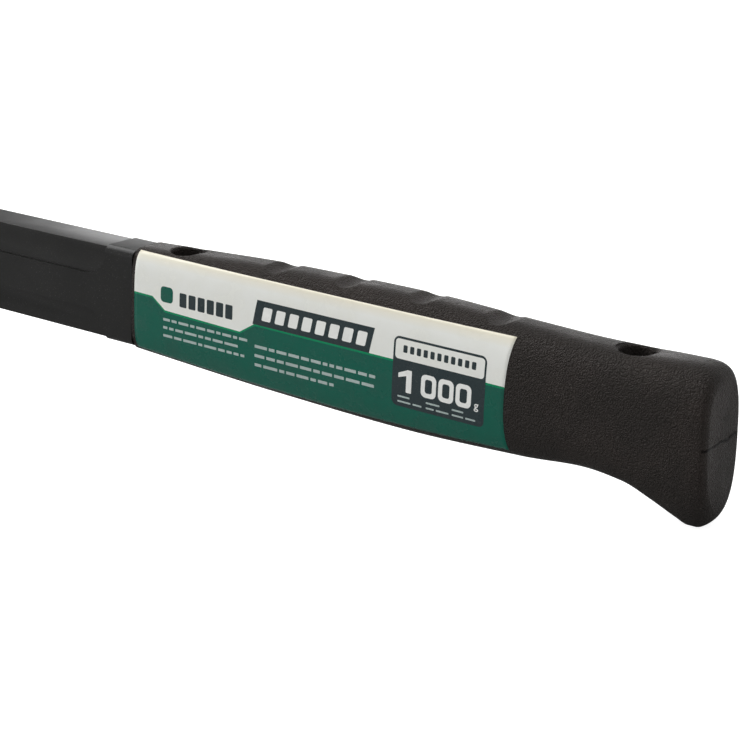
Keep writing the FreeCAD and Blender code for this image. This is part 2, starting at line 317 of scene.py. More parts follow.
pebbleGroup = buildPebbleGroup()
wearGroup = buildWearGroup()
grindGroup = buildGrindGroup()


def startMaterial(name, roughness, metallic=0.0, specular=0.5):
    material = bpy.data.materials.new(name)
    material.use_nodes = True
    tree = material.node_tree
    shader = tree.nodes["Principled BSDF"]
    shader.inputs["Roughness"].default_value = roughness
    shader.inputs["Metallic"].default_value = metallic
    shader.inputs["Specular IOR Level"].default_value = specular
    coordinates = tree.nodes.new("ShaderNodeTexCoord")
    return material, tree, shader, coordinates.outputs["Object"]


def useGroup(tree, group, vector, **values):
    made = tree.nodes.new("ShaderNodeGroup")
    made.node_tree = group
    tree.links.new(vector, made.inputs["Vector"])
    for key, value in values.items():
        made.inputs[key].default_value = value
    return made


def handlePlace(tree, vector):
    # metres along the handle and above its axis, turned back from the hammer's resting tilt
    level = node(tree, "Mapping", vector_type="TEXTURE")
    level.inputs["Location"].default_value = eyeCentre
    level.inputs["Rotation"].default_value = (0.0, tiltAngle, 0.0)
    tree.links.new(vector, level.inputs["Vector"])
    split = node(tree, "SeparateXYZ")
    tree.links.new(level.outputs["Vector"], split.inputs["Vector"])
    return split.outputs["X"], split.outputs["Z"]


def knitLine(tree, vector, seamFrom):
    # faint wavering line across the butt's face where the rubber met in its mould, sizes in metres
    waverHeight, halfWidth = 0.004, 0.0006
    x, z = handlePlace(tree, vector)
    waver = node(tree, "TexNoise", Scale=110.0, Detail=2.0)
    tree.links.new(vector, waver.inputs["Vector"])
    level = math2(tree, "MULTIPLY_ADD", waver.outputs["Fac"], waverHeight, z)
    away = math2(tree, "ABSOLUTE", level)
    line = math2(tree, "SUBTRACT", 1.0, math2(tree, "DIVIDE", away, halfWidth), clamp=True)
    return math2(tree, "MULTIPLY", line, math2(tree, "GREATER_THAN", x, seamFrom / 1000))


def rubberMaterial(name, dark, light, cell, depth, strength, glintPaint, roughLow=0.48, roughHigh=0.7,
                   seamFrom=None):
    gloss, seamGloss = 0.3, 0.06
    material, tree, shader, vector = startMaterial(name, roughHigh, specular=gloss)
    link = tree.links.new
    pebble = useGroup(tree, pebbleGroup, vector, Depth=depth, Strength=strength)
    pebble.inputs["Cell size"].default_value = cell
    shader.inputs["Specular Tint"].default_value = (1.0, 0.87, 0.83, 1)
    wear = useGroup(tree, wearGroup, vector, Amount=0.5)
    color = mixColor(tree, wear.outputs["Rubbed"], dark, light)
    # light specks painted into the colour as glints
    color = mixColor(tree, math2(tree, "MULTIPLY", pebble.outputs["Painted glint"], glintPaint), color,
                     (0.12, 0.105, 0.095, 1))
    color = mixColor(tree, math2(tree, "MULTIPLY", wear.outputs["Dust"], 0.25), color,
                     (0.16, 0.14, 0.13, 1))
    link(ramp(tree, wear.outputs["Rubbed"], 0.0, 0.6, (roughHigh,) * 3 + (1,), (roughLow,) * 3 + (1,)),
         shader.inputs["Roughness"])
    if seamFrom:
        line = knitLine(tree, vector, seamFrom)
        color = mixColor(tree, math2(tree, "MULTIPLY", line, 0.7), color, (0.003, 0.003, 0.003, 1))
        link(math2(tree, "MULTIPLY_ADD", line, seamGloss - gloss, gloss), shader.inputs["Specular IOR Level"])
        seam = node(tree, "Bump", Strength=1.0, Distance=0.0008)
        link(line, seam.inputs["Height"])
        link(pebble.outputs["Normal"], seam.inputs["Normal"])
        link(seam.outputs["Normal"], shader.inputs["Normal"])
    else:
        link(pebble.outputs["Normal"], shader.inputs["Normal"])
    link(color, shader.inputs["Base Color"])
    return material


def plasticMaterial(name, color, accent, roughness):
    material, tree, shader, vector = startMaterial(name, roughness, specular=0.24)
    link = tree.links.new
    pebble = useGroup(tree, pebbleGroup, vector, Depth=0.00002, Strength=0.35, Unevenness=0.8)
    pebble.inputs["Cell size"].default_value = 0.0009
    wear = useGroup(tree, wearGroup, vector, Amount=0.45)
    mixed = mixColor(tree, wear.outputs["Rubbed"], color, accent)
    mixed = mixColor(tree, math2(tree, "MULTIPLY", wear.outputs["Dust"], 0.2), mixed, (0.2, 0.19, 0.18, 1))
    link(mixed, shader.inputs["Base Color"])
    worn = math2(tree, "MULTIPLY_ADD", wear.outputs["Rubbed"], 0.16, roughness)
    link(math2(tree, "ADD", worn, math2(tree, "MULTIPLY", wear.outputs["Scratch"], 0.12)),
         shader.inputs["Roughness"])
    link(pebble.outputs["Normal"], shader.inputs["Normal"])
    return material


def steelMaterial(name, color, roughness, lineWidth=0.0003):
    material, tree, shader, vector = startMaterial(name, roughness, metallic=1.0)
    link = tree.links.new
    grind = useGroup(tree, grindGroup, vector)
    grind.inputs["Line width"].default_value = lineWidth
    wear = useGroup(tree, wearGroup, vector, Amount=0.6)
    shade = mixColor(tree, grind.outputs["Streak"], [c * 0.8 for c in color[:3]] + [1], color)
    shade = mixColor(tree, wear.outputs["Rubbed"], shade, [c * 0.62 for c in color[:3]] + [1])
    link(shade, shader.inputs["Base Color"])
    link(math2(tree, "MULTIPLY_ADD", wear.outputs["Rubbed"], 0.2, roughness), shader.inputs["Roughness"])
    link(grind.outputs["Normal"], shader.inputs["Normal"])
    return material


def filmMaterial(name, color, shadow, roughness=0.22, creamShadeEdge=None):
    # printed film: slight unevenness of ink, and a wavy clear surface
    material, tree, shader, vector = startMaterial(name, roughness, specular=0.22)
    link = tree.links.new
    wear = useGroup(tree, wearGroup, vector, Amount=0.6)
    wear.inputs["Patch size"].default_value = 0.009
    ink = mixColor(tree, wear.outputs["Rubbed"], color, shadow)
    ink = mixColor(tree, math2(tree, "MULTIPLY", wear.outputs["Dust"], 0.10), ink, (0.5, 0.48, 0.44, 1))
    if creamShadeEdge:
        # darker and creamier towards the upper edge, a cream tint with painted shade, from none to all
        # between these two levels
        height = handlePlace(tree, vector)[1]
        creamShade = node(tree, "MapRange")
        for label, level in zip(("From Min", "From Max"), creamShadeEdge):
            creamShade.inputs[label].default_value = level / 1000
        link(height, creamShade.inputs["Value"])
        ink = mixColor(tree, creamShade.outputs["Result"], ink, (0.78, 0.73, 0.58, 1))
    link(ink, shader.inputs["Base Color"])
    ripple = node(tree, "TexNoise", Scale=90.0, Detail=3.0)
    link(vector, ripple.inputs["Vector"])
    bump = node(tree, "Bump", Strength=0.25, Distance=0.0003)
    link(ripple.outputs["Fac"], bump.inputs["Height"])
    link(bump.outputs["Normal"], shader.inputs["Normal"])
    link(math2(tree, "MULTIPLY_ADD", wear.outputs["Rubbed"], 0.15, roughness), shader.inputs["Roughness"])
    return material


def forgedMaterial(name, faceTop, tipStart):
    # black enamel that ends where the striking face and the pick's point are ground bright
    material, tree, shader, vector = startMaterial(name, 0.35)
    link = tree.links.new
    level = handlePlace(tree, vector)[1]
    edgeNoise = node(tree, "TexNoise", Scale=130.0, Detail=4.0)
    link(vector, edgeNoise.inputs["Vector"])
    height = math2(tree, "MULTIPLY_ADD", edgeNoise.outputs["Fac"], 0.0016, level)
    bright = math2(tree, "ADD", math2(tree, "LESS_THAN", height, faceTop / 1000),
                   math2(tree, "GREATER_THAN", height, tipStart / 1000), clamp=True)
    wear = useGroup(tree, wearGroup, vector, Amount=0.5)
    grind = useGroup(tree, grindGroup, vector)
    enamel = mixColor(tree, wear.outputs["Rubbed"], (0.018, 0.018, 0.019, 1), (0.034, 0.033, 0.033, 1))
    steel = mixColor(tree, grind.outputs["Streak"], (0.42, 0.41, 0.40, 1), (0.66, 0.65, 0.63, 1))
    link(mixColor(tree, bright, enamel, steel), shader.inputs["Base Color"])
    link(bright, shader.inputs["Metallic"])
    link(math2(tree, "MULTIPLY_ADD", wear.outputs["Rubbed"], 0.25, 0.27), shader.inputs["Roughness"])
    skinNoise = node(tree, "TexNoise", Scale=420.0, Detail=5.0, Roughness=0.6)
    link(vector, skinNoise.inputs["Vector"])
    bump = node(tree, "Bump", Strength=0.35, Distance=0.00025)
    link(skinNoise.outputs["Fac"], bump.inputs["Height"])
    normal = node(tree, "Mix", data_type="VECTOR")
    link(bright, normal.inputs[0])
    link(bump.outputs["Normal"], normal.inputs[4])
    link(grind.outputs["Normal"], normal.inputs[5])
    link(normal.outputs[1], shader.inputs["Normal"])
    return material


plainRubber = rubberMaterial("dampingRubber", (0.02, 0.02, 0.02, 1), (0.035, 0.034, 0.033, 1),
                             0.0004, 0.00005, 0.4, 0.1)
neckPlastic = plasticMaterial("neckPlastic", (0.007, 0.007, 0.0065, 1), (0.011, 0.0105, 0.010, 1), 0.33)
spacerPlastic = plasticMaterial("spacerPlastic", (0.2, 0.2, 0.21, 1), (0.26, 0.26, 0.27, 1), 0.45)
plateSteel = steelMaterial("plateSteel", (0.56, 0.56, 0.57, 1), 0.32)
rodSteel = steelMaterial("rodSteel", (0.36, 0.35, 0.34, 1), 0.36, 0.00015)
forgedSteel = forgedMaterial("forgedSteel", -57.0, 100.0)
print("materials built")


# ---------- grip

gripShape = {
    "front": 105.7, "length": 189.7, "flare": 34.0, "heelTilt": 3.5, "endRound": 1.6, "frontRound": 0.4,
    "segments": 160, "step": 0.8, "endZone": 9.0, "endStep": 0.35, "firstScoop": 50.9, "pitch": 24.8,
    "scoops": 4, "scoopDepth": 1.4, "scoopRadius": 6.5, "scoopBlend": 0.3, "frontPocket": (15.5, 5.3),
    "rearPocket": (25.4, 4.8), "pocketRim": 1.1, "core": (11.8, 23.4, 3.0), "coreInset": (-5.0, 12.0),
    "creaseAngle": 50,
}
butt = gripShape["front"] + gripShape["length"]
# place along the handle, half thickness, rise over the axis, drop under it, squareness
gripStations = (
    (gripShape["front"], 8.2, 15.9, 16.1, 5.0),
    (gripShape["front"] + 20.0, 8.5, 17.0, 17.3, 4.2),
    (gripShape["front"] + 52.0, 8.8, 18.6, 18.8, 3.7),
    (gripShape["front"] + 97.0, 9.3, 19.2, 19.7, 3.4),
    (butt - gripShape["flare"] - 20.0, 9.8, 17.8, 18.3, 3.2),
    (butt - gripShape["flare"], 10.3, 17.2, 16.5, 3.3),
    (butt - 24.0, 10.7, 17.2, 17.4, 3.4),
    (butt - 16.0, 11.0, 17.5, 20.3, 3.3),
    (butt - gripShape["endZone"], 11.2, 17.8, 23.7, 3.0),
    (butt - 6.2, 11.2, 17.9, 24.9, 2.9),
    (butt - 4.2, 11.2, 17.8, 24.9, 2.85),
    (butt - 2.3, 11.0, 17.3, 23.9, 2.8),
    (butt - 1.0, 10.7, 16.4, 22.4, 2.75),
    (butt, 10.2, 15.3, 20.8, 2.7),
)


def stationSlope(index, column):
    # slope of a smooth curve through the stations that never swings past any of them
    before = gripStations[max(index - 1, 0)]
    here = gripStations[index]
    after = gripStations[min(index + 1, len(gripStations) - 1)]
    if before is here or after is here:
        return (after[column] - before[column]) / (after[0] - before[0])
    rising = (here[column] - before[column]) / (here[0] - before[0])
    leaving = (after[column] - here[column]) / (after[0] - here[0])
    if rising * leaving <= 0:
        return 0.0
    return 2 * rising * leaving / (rising + leaving)


def gripSize(x):
    # half thickness, rise, drop and squareness at any place along the grip
    x = min(max(x, gripStations[0][0]), butt)
    index = max(i for i, station in enumerate(gripStations[:-1]) if station[0] <= x)
    here, after = gripStations[index], gripStations[index + 1]
    span = after[0] - here[0]
    t = (x - here[0]) / span
    return [here[c] * (1 + 2 * t) * (1 - t) ** 2 + after[c] * t * t * (3 - 2 * t)
            + stationSlope(index, c) * span * t * (1 - t) ** 2
            - stationSlope(index + 1, c) * span * t * t * (1 - t) for c in range(1, 5)]


def scoopFloor(x):
    # level of the round finger scoop that passes over this place, or one far above the grip
    noScoop = 1000.0
    for index in range(gripShape["scoops"]):
        middle = gripShape["front"] + gripShape["firstScoop"] + index * gripShape["pitch"]
        radius = gripShape["scoopRadius"]
        reach = radius * 0.8
        if abs(x - middle) < reach:
            centre = gripSize(middle)[1] - gripShape["scoopDepth"] + radius
            return centre - math.sqrt(radius ** 2 - (x - middle) ** 2)
    return noScoop


def softMin(first, second, blend):
    # the lower of two levels, rounded where they cross
    share = min(max(0.5 + 0.5 * (second - first) / blend, 0), 1)
    return second + (first - second) * share - blend * share * (1 - share)


def gripPoint(place, angle):
    # place holds where the ring is, how far it is drawn in, and how far it has gone towards the middle
    x, inset, shrink = place
    halfY, rise, drop, squareness = gripSize(x)
    across, up = math.cos(angle), math.sin(angle)
    reach = (abs(across) ** squareness + abs(up) ** squareness) ** (-1 / squareness)
    y = (halfY - inset) * reach * across * shrink
    z = ((rise if up > 0 else drop) - inset) * reach * up * shrink
    if up > 0 and shrink == 1:
        z = softMin(z, scoopFloor(x), gripShape["scoopBlend"])
    lean = max(0.0, 1 - (butt - x) / gripShape["flare"])
    return Vector((x - z * math.tan(math.radians(gripShape["heelTilt"])) * lean, y, z))


def gripPlaces():
    places = []
    frontRound, endRound = gripShape["frontRound"], gripShape["endRound"]
    for share in (0.35, 0.7, 0.95):
        places.append((gripShape["front"], frontRound, share))
    for step in range(5):
        turn = step / 4 * math.pi / 2
        places.append((gripShape["front"] + frontRound * (1 - math.cos(turn)),
                       frontRound * (1 - math.sin(turn)), 1))
    start = gripShape["front"] + frontRound
    for stretch, spacing in ((gripShape["length"] - frontRound - gripShape["endZone"], gripShape["step"]),
                             (gripShape["endZone"] - endRound, gripShape["endStep"])):
        count = round(stretch / spacing)
        places += [(start + stretch * step / count, 0, 1) for step in range(1, count + 1)]
        start += stretch
    places.pop()
    for step in range(9):
        turn = step / 8 * math.pi / 2
        places.append((butt - endRound + endRound * math.sin(turn), endRound * (1 - math.cos(turn)), 1))
    for share in (0.96, 0.88, 0.76, 0.6, 0.4, 0.18):
        places.append((butt, endRound, share))
    return places


def pocketCutter(x, radius, bottom):
    # turned tool with a flared mouth, so the pocket's rim comes out round
    top = gripSize(x)[1]
    rim = gripShape["pocketRim"]
    profile = [(0.0, bottom), (radius - 0.3, bottom), (radius, bottom + 0.3)]
    for step in range(7):
        turn = step / 6 * math.pi / 2
        profile.append((radius + rim * (1 - math.cos(turn)), top - 0.25 - rim + rim * math.sin(turn)))
    profile += [(radius + rim, top + 3), (0.0, top + 3)]
    bm = bmesh.new()
    verts = [bm.verts.new((x + r, 0, z)) for r, z in profile]
    edges = [bm.edges.new(pair) for pair in zip(verts, verts[1:])]
    bmesh.ops.spin(bm, geom=verts + edges, cent=(x, 0, 0), axis=(0, 0, 1), angle=2 * math.pi,
                   steps=48, use_merge=True)
    bmesh.ops.remove_doubles(bm, verts=bm.verts, dist=0.0001)
    return cutterFrom(bm)


gripRubber = rubberMaterial("gripRubber", (0.0115, 0.0105, 0.0088, 1), (0.026, 0.0195, 0.0160, 1),
                            0.00045, 0.0007, 1.0, 0.4, 0.36, 0.50, seamFrom=butt - 1.0)


def buildGrip():
    bm = skin(bmesh.new(), gripShape["segments"], gripPlaces(), gripPoint)
    piece = finishPiece("grip", bm, ["grip"], [gripRubber], sharp=gripShape["creaseAngle"])
    thick, height, corner = gripShape["core"]
    coreFront, coreEnd = gripShape["coreInset"]
    # the hole for the jacket's core starts in front of the grip and ends short of the butt
    core = roundBar(bmesh.new(), gripShape["front"] + coreFront, gripShape["length"] - coreFront - coreEnd,
                    thick, height, corner)
    bottom = height / 2 - corner
    (frontAway, frontRadius), (rearAway, rearRadius) = gripShape["frontPocket"], gripShape["rearPocket"]
    cutWith(piece, [cutterFrom(core),
                    pocketCutter(gripShape["front"] + frontAway, frontRadius, bottom),
                    pocketCutter(butt - rearAway, rearRadius, bottom)])
    piece.data.set_sharp_from_angle(angle=math.radians(gripShape["creaseAngle"]))
    return piece


grip = buildGrip()
print("grip built:", len(grip.data.polygons), "faces")


# ---------- labels

labelShape = {"front": 1.3, "length": 131.8, "top": 15.4, "drops": (14.7, 17.3, 16.2), "bow": 1.35,
              "bulge": 0.4, "lift": 0.03, "film": 0.3, "endZone": 8.0, "columns": 120, "rows": (40, 3, 34)}
# outlines in millimetres: along the label from its front edge, and up from the handle's axis
labelPrint = {
    "wave": ((0.0, 3.0), (7.3, 2.9), (12.3, -0.6), (41.0, -1.3), (46.4, 2.1), (131.8, 1.9)),
    "waveBand": 0.6,
    "titleGround": ((47.1, 9.4), (88.3, 9.4), (86.8, 2.0), (45.7, 2.0)),
    "plate": (94.9, 124.7, -11.0, 8.9), "plateSplit": 2.6, "plateLine": 0.65, "plateCorner": 1.8,
    "figure": (4.9, 6.5), "figureStroke": 1.3, "figureBase": -6.6, "figuresAt": (96.6, 104.4, 110.0, 115.6),
    "unit": (121.5, -6.1, 2.3), "emblem": (10.6, 15.4, 1.9, 6.7),
    "nameBlocks": {"count": 6, "start": 18.0, "pitch": 3.5, "width": 2.7, "bottom": 1.6, "top": 5.9},
    "titleBlocks": {"count": 8, "start": 48.9, "pitch": 4.75, "width": 3.2, "bottom": 3.6, "top": 7.7,
                    "slant": 0.75},
    "plateBlocks": {"count": 11, "start": 98.1, "pitch": 2.2, "width": 1.35, "bottom": 4.6, "top": 6.7},
    # start, stop, level and height of each row of short bars
    "rows": ((11.7, 44.8, -3.8, 0.8), (11.7, 40.8, -6.3, 0.8), (11.7, 42.9, -8.8, 0.8),
             (46.7, 89.3, -4.9, 0.9), (46.7, 89.3, -7.7, 0.9), (46.7, 76.3, -10.5, 0.9)),
    "smallRows": {"starts": (96.9, 106.2, 114.6), "lines": ((-8.3, 4.4), (-9.8, 7.9)), "height": 0.5},
}
# material slots: the first two are the same on the film and on the print that lies over it
white, green, bright = range(3)
ink, pale, fine = range(2, 5)


def labelDrop(u):
    # lower edge: a curve through its front, middle and rear levels
    front, middle, rear = labelShape["drops"]
    t = u / labelShape["length"]
    return -(front * (1 - t) * (1 - 2 * t) + middle * 4 * t * (1 - t) + rear * t * (2 * t - 1))


def waveLevel(u):
    wave = labelPrint["wave"]
    index = max(i for i, point in enumerate(wave[:-1]) if point[0] <= u)
    (startU, startZ), (stopU, stopZ) = wave[index], wave[index + 1]
    return startZ + (stopZ - startZ) * (u - startU) / (stopU - startU)


def labelPoint(side, u, z, lift):
    # a point of the flat print laid on the grip's side
    end = labelShape["endZone"]
    bottom = labelDrop(u)
    level = 1 - ((2 * z - labelShape["top"] - bottom) / (labelShape["top"] - bottom)) ** 2
    bowed = u - labelShape["bow"] * level * soften(u, labelShape["length"] - end, labelShape["length"])
    bowed += labelShape["bulge"] * (1 - level) * (1 - soften(u, 0, end))
    x = gripShape["front"] + labelShape["front"] + bowed
    halfY, rise, drop, squareness = gripSize(x)
    tall = rise if z > 0 else drop
    share = min(abs(z) / tall, 0.999)
    y = halfY * (1 - share ** squareness) ** (1 / squareness)
    normal = Vector((0, (y / halfY) ** (squareness - 1) / halfY,
                     math.copysign(share ** (squareness - 1) / tall, z)))
    normal.normalize()
    point = Vector((x, y, z)) + normal * lift
    return Vector((point.x, side * point.y, point.z))


def cutInto(bm, spacing):
    # straight cuts through flat print so that it can bend
    lows = [min(vert.co[axis] for vert in bm.verts) for axis in (0, 1)]
    highs = [max(vert.co[axis] for vert in bm.verts) for axis in (0, 1)]
    for axis, direction in ((0, (1, 0, 0)), (1, (0, 1, 0))):
        place = math.ceil(lows[axis] / spacing[axis]) * spacing[axis]
        while place < highs[axis]:
            at = [0, 0, 0]
            at[axis] = place
            bmesh.ops.bisect_plane(bm, geom=bm.verts[:] + bm.edges[:] + bm.faces[:], dist=0.00001,
                                   plane_co=at, plane_no=direction)
            place += spacing[axis]


def flatShape(outline, corner=0.0):
    bm = bmesh.new()
    verts = [bm.verts.new((u, z, 0)) for u, z in outline]
    bm.faces.new(verts)
    if corner:
        bmesh.ops.bevel(bm, geom=bm.verts[:], offset=corner, segments=5, profile=0.5,
                        affect="VERTICES", material=-1)
    return bm


def box(left, right, bottom, top):
    return ((left, bottom), (right, bottom), (right, top), (left, top))


def addPrint(target, shape, side, lift, slotIndex, spacing=(3.0, 1.2)):
    cutInto(shape, spacing)
    for vert in shape.verts:
        vert.co = labelPoint(side, vert.co.x, vert.co.y, lift)
    for face in shape.faces:
        face.material_index = slotIndex
    loose = bpy.data.meshes.new("print")
    shape.to_mesh(loose)
    shape.free()
    target.from_mesh(loose)
    bpy.data.meshes.remove(loose)


def unitMesh(start, base, height):
    # the plain letter g of the built-in face, as a flat outline
    curve = bpy.data.curves.new("unit", "FONT")
    curve.body = "g"
    curve.size = height * 1.38
    curve.offset = 0.035
    holder = bpy.data.objects.new("unit", curve)
    bpy.context.scene.collection.objects.link(holder)
    bpy.context.view_layer.update()
    mesh = bpy.data.meshes.new_from_object(holder)
    bpy.data.objects.remove(holder)
    bpy.data.curves.remove(curve)
    bm = bmesh.new()
    bm.from_mesh(mesh)
    bpy.data.meshes.remove(mesh)
    bmesh.ops.remove_doubles(bm, verts=bm.verts, dist=0.0005)
    left = min(vert.co.x for vert in bm.verts)
    bmesh.ops.translate(bm, vec=(start - left, base, 0), verts=bm.verts)
    return bm


def ruledLines(rows, seed):
    # rows of short plain bars where small print would be
    chooser = random.Random(seed)
    bars = []
    for start, stop, level, height in rows:
        place = start
        while place < stop - 0.8:
            length = min(chooser.uniform(1.4, 5.2), stop - place)
            bars.append(box(place, place + length, level, level + height))
            place += length + 0.7
    return bars


def addFigures(bm, side, lift):
    # the figures read from left to right on either side of the handle
    left, right = labelPrint["plate"][:2]
    wide, tall = labelPrint["figure"]
    stroke, base = labelPrint["figureStroke"], labelPrint["figureBase"]
    first, *zeros = labelPrint["figuresAt"]
    stem = first + wide - 1.5 * stroke

    def stamp(shape, raised, slotIndex):
        if side > 0:
            for vert in shape.verts:
                vert.co.x = left + right - vert.co.x
        addPrint(bm, shape, side, lift + raised, slotIndex)

    stamp(flatShape(box(stem, stem + 1.35 * stroke, base, base + tall), 0.2), 0, pale)
    flag = ((stem + 0.2, base + tall - 0.1), (stem + 0.2, base + tall - 1.7),
            (first + 0.3, base + tall - 2.6), (first + 0.3, base + tall - 1.3))
    stamp(flatShape(flag, 0.2), 0, pale)
    for start in zeros:
        stamp(flatShape(box(start, start + wide, base, base + tall), 1.5), 0, pale)
        hole = box(start + stroke, start + wide - stroke, base + stroke, base + tall - stroke)
        stamp(flatShape(hole, 0.7), 0.01, ink)
    stamp(unitMesh(*labelPrint["unit"]), 0, pale)


def blockRow(count, start, pitch, width, bottom, top, slant=0.0):
    # outlines of plain blocks standing side by side where large print would be
    for index in range(count):
        left = start + index * pitch
        yield ((left, bottom), (left + width, bottom), (left + width + slant, top), (left + slant, top))


def printLabel(side):
    left, right, bottom, top = labelPrint["plate"]
    split, line, corner = labelPrint["plateSplit"], labelPrint["plateLine"], labelPrint["plateCorner"]
    # each layer of print lies a hair over the one that it is printed on
    low, middle, high = (labelShape["lift"] + step for step in (0.02, 0.03, 0.04))
    bm = bmesh.new()
    addPrint(bm, flatShape(labelPrint["titleGround"]), side, low, ink)
    for block in blockRow(**labelPrint["titleBlocks"]):
        addPrint(bm, flatShape(block, 0.45), side, middle, pale)
    addPrint(bm, flatShape(box(left, right, bottom, top), corner), side, low, ink)
    window = box(left + line, right - line, split, top - line)
    addPrint(bm, flatShape(window, corner * 0.55), side, middle, white)
    for block in blockRow(**labelPrint["plateBlocks"]):
        addPrint(bm, flatShape(block, 0.3), side, high, ink)
    addPrint(bm, flatShape(box(*labelPrint["emblem"]), 1.2), side, low, green)
    for block in blockRow(**labelPrint["nameBlocks"]):
        addPrint(bm, flatShape(block, 0.4), side, low, ink)
    addFigures(bm, side, middle)
    small = labelPrint["smallRows"]
    rows = list(labelPrint["rows"])
    rows += [(start, start + width, level, small["height"]) for start in small["starts"]
             for level, width in small["lines"]]
    for bar in ruledLines(rows, seed=7):
        addPrint(bm, flatShape(bar, 0.12), side, middle, fine)
    return bm


def buildLabel(side, name, nodeName):
    # a flat grid whose rows follow the printed wave, laid on the grip's side
    columns, rows = labelShape["columns"], labelShape["rows"]
    bm = bmesh.new()
    bmesh.ops.create_grid(bm, x_segments=columns, y_segments=sum(rows), size=0.5)
    places = [labelShape["length"] * index / columns for index in range(columns + 1)]
    for corner, _ in labelPrint["wave"][1:-1]:
        nearest = min(range(columns), key=lambda index: abs(places[index] - corner))
        places[nearest] = corner
    for face in bm.faces:
        row = (face.calc_center_median().y + 0.5) * sum(rows)
        band = bright if row < rows[0] + rows[1] else white
        face.material_index = green if row < rows[0] else band
    for vert in bm.verts:
        u = places[round((vert.co.x + 0.5) * columns)]
        row = round((vert.co.y + 0.5) * sum(rows))
        bottom, wave = labelDrop(u), waveLevel(u)
        if row <= rows[0]:
            z = bottom + (wave - labelPrint["waveBand"] - bottom) * math.sin(row / rows[0] * math.pi / 2)
        elif row <= rows[0] + rows[1]:
            z = wave - labelPrint["waveBand"] * (1 - (row - rows[0]) / rows[1])
        else:
            z = wave + (labelShape["top"] - wave) * (1 - math.cos((row - rows[0] - rows[1]) / rows[2]
                                                                  * math.pi / 2))
        vert.co = labelPoint(side, u, z, labelShape["lift"])
    film = finishPiece(name, bm, [nodeName], [labelWhite, labelGreen, labelBright])
    # the film's faces look away from the handle before it gets its thickness
    if (film.data.polygons[0].normal @ Vector((0, side, 0))) < 0:
        film.data.flip_normals()
    thick = film.modifiers.new("filmThickness", "SOLIDIFY")
    thick.thickness = labelShape["film"] / 1000
    thick.offset = -1
    inks = finishPiece(name + "_print", printLabel(side), [],
                       [labelWhite, labelGreen, labelInk, labelPale, labelFine])
    for face in inks.data.polygons:
        if face.normal.y * side < 0:
            face.flip()


# the white film gets a cream tint and painted shade towards its upper edge
labelWhite = filmMaterial("labelWhite", (0.83, 0.84, 0.80, 1), (0.79, 0.795, 0.73, 1),
                          creamShadeEdge=(12.3, 15.7))
labelGreen = filmMaterial("labelGreen", (0.003, 0.105, 0.070, 1), (0.013, 0.090, 0.066, 1), 0.24)
labelBright = filmMaterial("labelBright", (0.0, 0.24, 0.10, 1), (0.0, 0.21, 0.095, 1), 0.24)
labelInk = filmMaterial("labelInk", (0.024, 0.038, 0.042, 1), (0.030, 0.043, 0.047, 1), 0.26)
labelPale = filmMaterial("labelPale", (0.86, 0.87, 0.84, 1), (0.78, 0.79, 0.77, 1), 0.24)
labelFine = filmMaterial("labelFine", (0.42, 0.50, 0.48, 1), (0.34, 0.42, 0.40, 1), 0.24)
for side, name, nodeName in ((-1, "labelLeft", "label_left"), (1, "labelRight", "label_right")):
    buildLabel(side, name, nodeName)
print("labels built")


# ---------- neck jacket and inner pieces: the CAD shapes, with their edges broken where they show

def paintNode(nodeName, material):
    mesh = frame["nodes"][nodeName].data
    mesh.materials.clear()
    mesh.materials.append(material)


softenedCopy("neckJacket", "neck_jacket", [neckPlastic], 0.42, 3, 25)
softenedCopy("eyeSleeve", "eye_sleeve", [plainRubber], 0.25)
softenedCopy("lockPlate", "lock_plate", [plateSteel], 0.35)
for nodeName, material in (("foot_plate", plateSteel), ("butt_damper", plainRubber),
                           ("rod_spacer_1", spacerPlastic), ("rod_spacer_2", spacerPlastic)):
    paintNode(nodeName, material)
for index in range(6):
    paintNode("spring_rod_%d" % (index + 1), rodSteel)
print("handle pieces finished")


# ---------- head

headShape = {
    # height above the eye's centre, size along the handle, size across it, corner cut, lean to the butt
    "rings": (
        (-60.0, 27.0, 27.0, 3.2, 0.0), (-57.5, 32.0, 32.0, 4.5, 0.0), (-49.0, 32.0, 32.0, 4.5, 0.0),
        (-46.4, 31.0, 31.0, 4.5, 0.0), (-43.4, 29.2, 29.2, 4.5, 0.0), (-40.0, 28.2, 28.2, 4.6, 0.0),
        (-36.0, 28.1, 28.0, 4.6, 0.0), (-32.8, 29.3, 28.9, 4.6, 0.0), (-30.0, 31.6, 30.3, 4.6, 0.0),
        (-27.6, 34.8, 32.1, 4.5, 0.0), (-25.6, 38.2, 34.0, 4.3, 0.0), (-23.8, 40.8, 35.4, 4.1, 0.0),
        (-21.6, 41.9, 36.0, 4.0, 0.0), (21.6, 41.9, 36.0, 4.0, 0.0), (23.8, 41.0, 35.5, 4.2, 0.0),
        (26.0, 39.0, 34.2, 4.6, 0.0), (28.6, 37.0, 32.6, 4.9, 0.05), (31.6, 35.4, 31.2, 5.1, 0.1),
        (35.4, 33.7, 29.8, 5.1, 0.15), (42.0, 31.3, 27.7, 4.9, 0.25),
        (52.0, 27.9, 24.8, 4.4, 0.8), (64.0, 23.8, 21.2, 3.8, 1.7), (76.0, 19.7, 17.7, 3.2, 3.0),
        (88.0, 15.6, 14.2, 2.6, 4.5), (100.0, 11.5, 10.6, 2.0, 6.2), (110.0, 8.1, 7.7, 1.4, 7.5),
        (117.0, 5.7, 5.5, 1.0, 8.4), (120.6, 4.4, 4.4, 0.9, 8.8), (122.0, 2.8, 2.8, 0.6, 9.0),
    ),
    # the eye's width, height and corner radius, then the width of the bevel on every edge
    "eye": (16.2, 30.0, 4.5), "edge": 1.1, "creaseAngle": 35,
}


